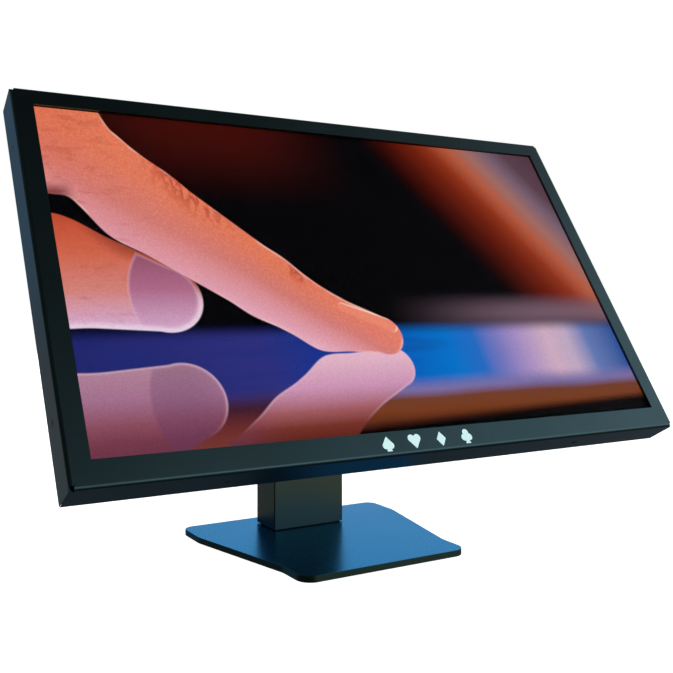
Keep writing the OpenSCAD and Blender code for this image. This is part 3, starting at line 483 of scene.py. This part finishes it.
def picture(name):
    """A picture lit from behind the cell: two soft fingers over a glossy blue table.

    Its layout and colours follow the photo's picture.
    """
    material, tree, shader = surface(name, Roughness=0.5, Specular_IOR_Level=0.0)
    point = place(tree)
    x = along(tree, point, RIGHT * MM)
    z = along(tree, point, UP * MM, GLASS_UP * MM)
    grain = noise(tree, point, 900.0, 1.0)
    cloud = noise(tree, point, 9.0, 3.0)

    # Dark ground with a deep red corner and a warm slanting band on the right
    red = (z.step(60, 150) * (x + 120).size().step(150, 20)).clamped()
    ground = mix(tree, red, (0.0, 0.0, 0.0), linear(62, 9, 3))
    slant = x * 0.85 + z * 0.53 + cloud * 10 - 5
    band = slant.ramp(
        (112, (0.0, 0.0, 0.0)),
        (140, linear(58, 6, 0)),
        (166, linear(104, 26, 6)),
        (186, linear(138, 46, 20)),
        (208, linear(178, 88, 60)),
        (228, linear(158, 106, 98)),
        (250, linear(118, 94, 110)),
        (272, linear(88, 62, 74)),
        (306, linear(80, 52, 60)),
    )
    ground = mix(tree, z.step(-62, -20) * slant.step(110, 140), ground, band)
    haze = (z + 44).size().step(24, 0) * x.step(0, 190)
    ground = mix(tree, haze * 0.72, ground, linear(128, 100, 116))

    # Glossy table below the horizon
    blue = (x + cloud * 16 - 8).ramp(
        (-266, linear(34, 36, 106)),
        (-120, linear(44, 46, 122)),
        (-60, linear(10, 50, 142)),
        (8, linear(0, 92, 184)),
        (60, linear(0, 112, 200)),
        (88, linear(34, 104, 190)),
        (112, linear(116, 116, 186)),
        (140, linear(168, 142, 192)),
        (176, linear(206, 170, 190)),
        (204, linear(188, 166, 192)),
        (228, linear(98, 118, 176)),
        (266, linear(44, 80, 146)),
    )
    streaks = noise(tree, stretched(tree, point, (0.5, 5.0, 5.0)), 26.0, 3.0)
    blue = mix(tree, streaks.step(0.42, 0.66) * x.step(90, 20) * 0.28, blue, linear(14, 40, 112))
    edge = cloud * 6 - 3 + z
    low_left = edge.ramp(
        (-149, linear(118, 56, 50)),
        (-134, linear(106, 42, 40)),
        (-120, linear(62, 26, 42)),
        (-106, linear(52, 46, 110)),
    )
    low_right = edge.ramp(
        (-142, linear(84, 34, 12)),
        (-132, linear(116, 58, 26)),
        (-122, linear(112, 60, 40)),
        (-114, linear(120, 108, 160)),
    )
    low = mix(tree, x.step(-130, -20), low_left, low_right)
    table = mix(tree, edge.step(-116, -100), low, blue)
    under_edge = z - x * 0.030 + 141.5
    table = mix(tree, under_edge.step(5, -5) * x.step(-190, -60), table, (0.0, 0.0, 0.0))
    scene = mix(tree, z.step(-50, -66), ground, table)

    # Mirror images of both forms in the table
    mirrored_z = -z + 2 * MIRROR_Z
    echo = tapered(x - 1, mirrored_z, LONG_FORM)
    echo_low = tapered(x, mirrored_z + FOLD_DROP, SHORT_FORM)
    both = echo.melt(echo_low, 2.0)
    echo_tone = z.ramp(
        (-149, linear(92, 34, 24)),
        (-139, linear(116, 48, 38)),
        (-127, linear(158, 88, 92)),
        (-108, linear(202, 146, 178)),
        (-84, linear(226, 178, 196)),
    )
    echo_shade = mix(tree, x.step(-110, -190) * 0.55, echo_tone, linear(116, 62, 92))
    echo_nail = circle(x, mirrored_z + FOLD_DROP, NAIL).most(echo_low + 2.0)
    echo_shade = mix(tree, echo_nail.step(2.0, -2.0) * 0.35, echo_shade, linear(96, 56, 96))
    echo_rim = both.step(-2.4, -0.4) * z.step(-142, -112)
    echo_shade = mix(tree, echo_rim * 0.40, echo_shade, linear(220, 190, 214))
    scene = mix(tree, both.step(0.9, -0.9) * z.step(-77, -79), scene, echo_shade)

    # The folded form with its smooth plate, then the pointing one in front of it
    fold = tapered(x, z, SHORT_FORM)
    weave = noise(tree, stretched(tree, point, (0.6, 1.4, 1.4)), 120.0, 5.0, 0.65)
    fold_tone = z.ramp(
        (-60, linear(226, 190, 222)),
        (-44, linear(212, 160, 186)),
        (-22, linear(210, 130, 122)),
        (10, linear(206, 100, 74)),
        (46, linear(190, 72, 44)),
    )
    fold_tone = mix(tree, weave.step(0.50, 0.72) * 0.30, fold_tone, linear(166, 70, 56))
    shaded = tapered(x, z, LONG_FORM).step(17, 1)
    fold_tone = mix(tree, shaded * 0.55, fold_tone, linear(112, 34, 22))
    plate = circle(x, z, NAIL).most(fold + 3.0)
    plate_tone = z.ramp(
        (-50, linear(206, 158, 190)),
        (-20, linear(172, 104, 134)),
        (6, linear(150, 84, 108)),
    )
    fold_tone = mix(tree, plate.step(0.8, -0.8), fold_tone, plate_tone)
    fold_tone = mix(tree, plate.size().step(2.0, 0.2) * 0.22, fold_tone, linear(226, 184, 206))
    fold_rim = fold.step(-7, -0.5) * z.step(-14, -36)
    fold_tone = mix(tree, fold_rim * 0.60, fold_tone, linear(238, 222, 238))
    scene = mix(tree, fold.step(0.8, -0.8), scene, fold_tone)

    form = tapered(x, z, LONG_FORM).melt(tapered(x, z, PALM), 12.0)
    middle = x * -0.72 - 82
    half = x * -0.20 + 20
    height = (z - middle) / half + cloud * 0.3 - 0.15
    tone = height.ramp(
        (-1.6, linear(236, 196, 214)),
        (-0.9, linear(222, 156, 172)),
        (-0.1, linear(208, 120, 112)),
        (0.6, linear(222, 118, 88)),
        (1.4, linear(228, 122, 88)),
    )
    tone = mix(tree, x.step(-90, 0) * 0.30, tone, linear(222, 128, 132))
    tone = mix(tree, x.step(-180, -262) * z.step(60, 130) * 0.5, tone, linear(222, 106, 70))
    creases = noise(tree, stretched(tree, point, (2.6, 1.0, 1.0)), 70.0, 5.0, 0.6)
    creases = creases.step(0.44, 0.55)
    knuckle = (x + 150).size().step(46, 6) * form.step(-26, -2) * height.step(-0.1, 0.7)
    joint = (x + 70).size().step(16, 3) * form.step(-18, -2) * height.step(0.1, 0.8)
    tone = mix(tree, knuckle.most(joint) * creases * 0.75, tone, linear(176, 58, 38))
    folds = noise(tree, stretched(tree, point, (1.0, 2.4, 2.4)), 46.0, 4.0, 0.6)
    folds = folds.step(0.52, 0.64)
    tone = mix(tree, folds * x.step(-170, -240) * 0.35, tone, linear(180, 74, 54))
    skin = noise(tree, point, 420.0, 4.0, 0.7)
    tone = mix(tree, skin.step(0.48, 0.66) * 0.16, tone, linear(244, 168, 140))
    pores = skin.step(0.50, 0.36) * height.step(-0.4, 0.9)
    tone = mix(tree, pores * 0.18, tone, linear(184, 84, 62))
    lit_edge = form.step(-2.6, -0.4) * noise(tree, point, 30.0, 2.0).step(0.40, 0.60)
    tone = mix(tree, lit_edge * 0.45, tone, linear(252, 222, 214))
    tip = tapered(x, z, ((-36, -37, 4), (6, -55, 6)))
    tone = mix(tree, tip.step(1.2, -1.2) * 0.55, tone, linear(238, 140, 112))
    tip_rim = tip.size().step(1.4, 0.2) * form.step(-9, -2)
    tone = mix(tree, tip_rim * 0.6, tone, linear(252, 226, 210))
    web = tapered(x, z, PALM).step(-16, -1) * z.step(84, 66) * x.step(-240, -256)
    tone = mix(tree, web * 0.8, tone, linear(104, 30, 20))
    scene = mix(tree, form.step(0.8, -0.8), scene, tone)

    # Film grain, and the dark margin of the cell outside the lit rectangle
    lit = (
        (x - LIT_LEFT).step(0.0, 0.3)
        * (x - LIT_RIGHT).step(0.0, -0.3)
        * (z - LIT_BOTTOM).step(0.0, 0.3)
        * (z - LIT_TOP).step(0.0, -0.3)
    )
    dim = mix(tree, lit, (0.0, 0.0, 0.0), scene)
    grained = mix(tree, grain.step(0.25, 0.75) * 0.14, dim, (0.0, 0.0, 0.0))
    connect(tree, shader, Emission_Color=grained)
    shader.inputs["Base Color"].default_value = (0.002, 0.002, 0.003, 1.0)
    shader.inputs["Emission Strength"].default_value = PICTURE_GLOW
    return material


# ---- mesh pieces ----

WELD_GAP = 0.000002
FLAT_ANGLE = math.radians(0.5)
SHARP_ANGLE = math.radians(35)
# Corners of each face of a box, by number: right changes fastest, then up, then out
BOX_FACES = ((0, 2, 3, 1), (4, 5, 7, 6), (0, 1, 5, 4), (2, 6, 7, 3), (0, 4, 6, 2), (1, 3, 7, 5))


def rounded_slab(name, low, high, radius, segments, material):
    """A slab between two (right, up, out) corners of the head frame, its edges ground round."""
    mesh = bpy.data.meshes.new(name)
    shape = bmesh.new()
    corners = [
        shape.verts.new(head_point(r, u, o))
        for o in (low[2], high[2])
        for u in (low[1], high[1])
        for r in (low[0], high[0])
    ]
    for ring in BOX_FACES:
        shape.faces.new([corners[i] for i in ring])
    bmesh.ops.recalc_face_normals(shape, faces=shape.faces)
    bmesh.ops.bevel(
        shape,
        geom=list(shape.edges),
        offset=radius,
        segments=segments,
        profile=0.5,
        affect="EDGES",
    )
    shape.to_mesh(mesh)
    shape.free()
    for face in mesh.polygons:
        face.use_smooth = True
    piece = bpy.data.objects.new(name, mesh)
    bpy.context.scene.collection.objects.link(piece)
    piece.data.materials.append(material)
    weighted = piece.modifiers.new("even_shading", "WEIGHTED_NORMAL")
    weighted.keep_sharp = True
    return piece


def soften(node, width):
    """Breaks the sharp edges of a CAD node with a small bevel, without touching its mesh."""
    piece = NODES[node]
    weld = piece.modifiers.new("weld", "WELD")
    weld.merge_threshold = WELD_GAP
    flat = piece.modifiers.new("flat_faces", "DECIMATE")
    flat.decimate_type = "DISSOLVE"
    flat.angle_limit = FLAT_ANGLE
    bevel = piece.modifiers.new("broken_edges", "BEVEL")
    bevel.width = width
    bevel.segments = 2
    bevel.limit_method = "ANGLE"
    bevel.angle_limit = SHARP_ANGLE
    bevel.harden_normals = True


# ---- finish every node ----

BODY = satin_paint("body_satin", (0.060, 0.118, 0.136), 0.31, 1.0)
# Same paint as the body; this copy is tinted greener and less blue, a painted offset for the blue the column
# reflects from the base top
COLUMN_REFLECTION_COUNTERTINT = satin_paint("column_satin_reflection_countertint", (0.088, 0.130, 0.104), 0.33, 1.0)
# The base top's blue is a painted reflection of blue light from above; its edges keep the dark paint
BASE = satin_paint(
    "base_satin", (0.050, 0.104, 0.108), 0.28, 1.0, painted_top_reflection=(0.031, 0.195, 0.440), peel=0.025
)
DARK = satin_paint("dark_satin", (0.045, 0.050, 0.054), 0.46, 0.3)
ZINC = plated_steel("zinc_plate", (0.55, 0.56, 0.57), 0.34)
BRONZE = plated_steel("sintered_bronze", (0.55, 0.38, 0.18), 0.42)
PLASTIC = moulded_plastic("moulded_black", (0.015, 0.015, 0.016), 0.48)
RUBBER = moulded_plastic("ribbed_rubber", (0.012, 0.012, 0.012), 0.82, 700.0, 0.25)
MARK = printed_mark_painted_glow("printed_suits_painted_glow")
FILM = optical_sheet("optical_film", (0.85, 0.86, 0.87), 0.55)
ACRYLIC = clear_sheet("clear_acrylic", (0.90, 0.95, 0.97), 1.49, 0.03)
GLASS = clear_sheet("coated_glass", (0.97, 0.99, 1.0), 1.07, 0.01)
FLEX = flex_lead("amber_film")
PICTURE = picture("lit_picture")


BOARD_SHEET = 0.0016
CHIP_HEIGHT = 0.001
# Where each board's face lies along OUT, in metres: what lies further back looks like chips
BOARD_FACES = {
    "controller_board": head_box("controller_board")[1][2] - BOARD_SHEET,
    "button_board": head_box("button_board")[0][2] - CHIP_HEIGHT,
    "touch_controller": head_box("touch_controller")[0][2] + CHIP_HEIGHT,
}
LOOKS = {
    "base_paint": BASE,
    "body_paint": BODY,
    "black_paint": DARK,
    "zinc_steel": ZINC,
    "bronze": BRONZE,
    "black_plastic": PLASTIC,
    "rubber": RUBBER,
    "badge_print": MARK,
    "touch_glass": GLASS,
    "display": PICTURE,
    "optical_film": FILM,
    "clear_acrylic": ACRYLIC,
    "flex_lead": FLEX,
}
# Widths of the bevels on sharp sheet and moulded edges, in metres
SOFTENED = {
    "base_plate": 0.0003,
    "column_cap": 0.0004,
    "column_rear_cover": 0.0003,
    "electronics_housing": 0.0004,
    "hinge_fork": 0.0004,
    "tilt_bracket": 0.0004,
    "cable_clip": 0.0003,
}


def finish_nodes():
    """Gives every CAD node the look of its slot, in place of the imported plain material."""
    for row in frame["record"]["subparts"]:
        node, slot = row["node"], row["material_slot"]
        if slot == "circuit":
            look = circuit(node + "_mask", BOARD_FACES[node])
        else:
            # The column shell takes the body paint's retinted copy, a painted offset for the blue it reflects
            look = COLUMN_REFLECTION_COUNTERTINT if node == "column_shell" else LOOKS[slot]
        data = NODES[node].data
        data.materials.clear()
        data.materials.append(look)


finish_nodes()
for soft_node, soft_width in SOFTENED.items():
    soften(soft_node, soft_width)

# ---- the lit panel and the glass in front of it ----

PANEL_EDGE = 0.0003
GLASS_EDGE = 0.0004
BOND_GAP = 0.00005

panel = rounded_slab("lit_panel", CELL_LO, BOND_HI, PANEL_EDGE, 2, PICTURE)
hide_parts("lcd_cell", "optical_bond")
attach(panel, "screen")

glass_back = (GLASS_LO[0], GLASS_LO[1], GLASS_LO[2] + BOND_GAP)
glass = rounded_slab("cover_glass", glass_back, GLASS_HI, GLASS_EDGE, 3, GLASS)
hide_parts("touch_glass")
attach(glass, "screen")

# ---- stage, light and camera ----

FLOOR_HALF = 30.0
FLOOR_GLOW = 0.86

floor_mesh = bpy.data.meshes.new("floor")
floor_shape = bmesh.new()
bmesh.ops.create_grid(floor_shape, x_segments=1, y_segments=1, size=FLOOR_HALF)
floor_shape.to_mesh(floor_mesh)
floor_shape.free()
floor = bpy.data.objects.new("floor", floor_mesh)
bpy.context.scene.collection.objects.link(floor)
floor_look, _, floor_shader = surface("pale_floor", Roughness=0.9, Specular_IOR_Level=0.0)
floor_shader.inputs["Base Color"].default_value = (0.80, 0.80, 0.80, 1.0)
floor_shader.inputs["Emission Color"].default_value = (1.0, 1.0, 1.0, 1.0)
floor_shader.inputs["Emission Strength"].default_value = FLOOR_GLOW
floor.data.materials.append(floor_look)
floor.visible_glossy = False
floor.visible_diffuse = False


def studio():
    """White to the camera. What the metal reflects is set by direction, tuned in the photo's view.

    A wide glow low on the right, dim overhead and on the left, and grey patches behind for the rear.
    """
    world = bpy.data.worlds.new("studio")
    bpy.context.scene.world = world
    world.use_nodes = True
    tree = world.node_tree
    for node in list(tree.nodes):
        tree.nodes.remove(node)
    ray = tree.nodes.new("ShaderNodeTexCoord").outputs["Generated"]
    x = along(tree, ray, (1.0, 0.0, 0.0))
    y = along(tree, ray, (0.0, 1.0, 0.0))
    z = along(tree, ray, (0.0, 0.0, 1.0))
    level = z.ramp(
        (-1.0, (0.03, 0.04, 0.05)),
        (-0.64, (0.03, 0.05, 0.07)),
        (-0.38, (0.13, 0.14, 0.15)),
        (-0.15, (0.46, 0.36, 0.26)),
        (-0.02, (0.62, 0.58, 0.52)),
        (0.05, (1.05, 1.05, 1.05)),
        (0.30, (1.02, 1.03, 1.05)),
        (0.49, (0.72, 0.76, 0.78)),
        (0.62, (0.40, 0.41, 0.41)),
        (0.70, (0.20, 0.20, 0.20)),
        (0.77, (0.12, 0.11, 0.10)),
        (0.86, (0.04, 0.035, 0.032)),
        (0.94, (0.02, 0.017, 0.015)),
        (1.0, (0.01, 0.01, 0.01)),
    )
    side = x.step(-0.15, 0.45)
    behind = y.step(0.5, 0.95) * z.step(-0.15, 0.05)
    left = mix(tree, behind, (0.050, 0.038, 0.032), (0.11, 0.19, 0.28))
    low_left = mix(tree, z.step(0.02, -0.12) * y.step(0.4, 0.9), left, (0.165, 0.175, 0.185))
    sides = mix(tree, side, low_left, level)
    over_back = y.step(0.0, 0.6) * z.step(0.42, 0.68)
    under_back = y.step(0.0, 0.3) * z.step(-0.86, -0.94)
    glow = mix(tree, over_back + under_back, sides, (0.30, 0.32, 0.34))
    path = tree.nodes.new("ShaderNodeLightPath").outputs["Is Camera Ray"]
    lit = tree.nodes.new("ShaderNodeBackground")
    tree.links.new(glow, lit.inputs["Color"])
    plain = tree.nodes.new("ShaderNodeBackground")
    plain.inputs["Color"].default_value = (1.0, 1.0, 1.0, 1.0)
    pick = tree.nodes.new("ShaderNodeMixShader")
    tree.links.new(path, pick.inputs[0])
    tree.links.new(lit.outputs[0], pick.inputs[1])
    tree.links.new(plain.outputs[0], pick.inputs[2])
    out = tree.nodes.new("ShaderNodeOutputWorld")
    tree.links.new(pick.outputs[0], out.inputs["Surface"])


studio()

def soft_light(name, size, energy, place_at, aim_at):
    """A round area light, in metres and watts, that shows in no reflection."""
    data = bpy.data.lights.new(name, "AREA")
    data.shape = "DISK"
    data.size = size
    data.energy = energy
    light = bpy.data.objects.new(name, data)
    light.location = place_at
    aim = Vector(aim_at) - light.location
    light.rotation_euler = aim.to_track_quat("-Z", "Y").to_euler()
    light.visible_glossy = False
    bpy.context.scene.collection.objects.link(light)


soft_light("key", 1.6, 30.0, (-0.9, -1.6, 1.6), (0.0, -0.1, 0.15))
soft_light("fill", 2.2, 90.0, (-0.7, 2.4, 0.9), (0.0, 0.0, 0.2))

# Where the photo was taken from, by the perspective fit of its straight edges
EYE = (-0.4290, -0.7436, 0.2266)
HEADING = math.radians(29.21)
camera_data = bpy.data.cameras.new("camera")
camera_data.sensor_width = 36.0
camera_data.lens = 47.16
camera_data.shift_x = 0.0721
camera_data.shift_y = -0.0615
camera_data.clip_start = 0.01
camera_data.clip_end = 200.0
camera = bpy.data.objects.new("camera", camera_data)
camera.location = EYE
camera.rotation_euler = (math.radians(90.0), 0.0, -HEADING)
bpy.context.scene.collection.objects.link(camera)
bpy.context.scene.camera = camera
bpy.context.scene.view_settings.view_transform = "Standard"
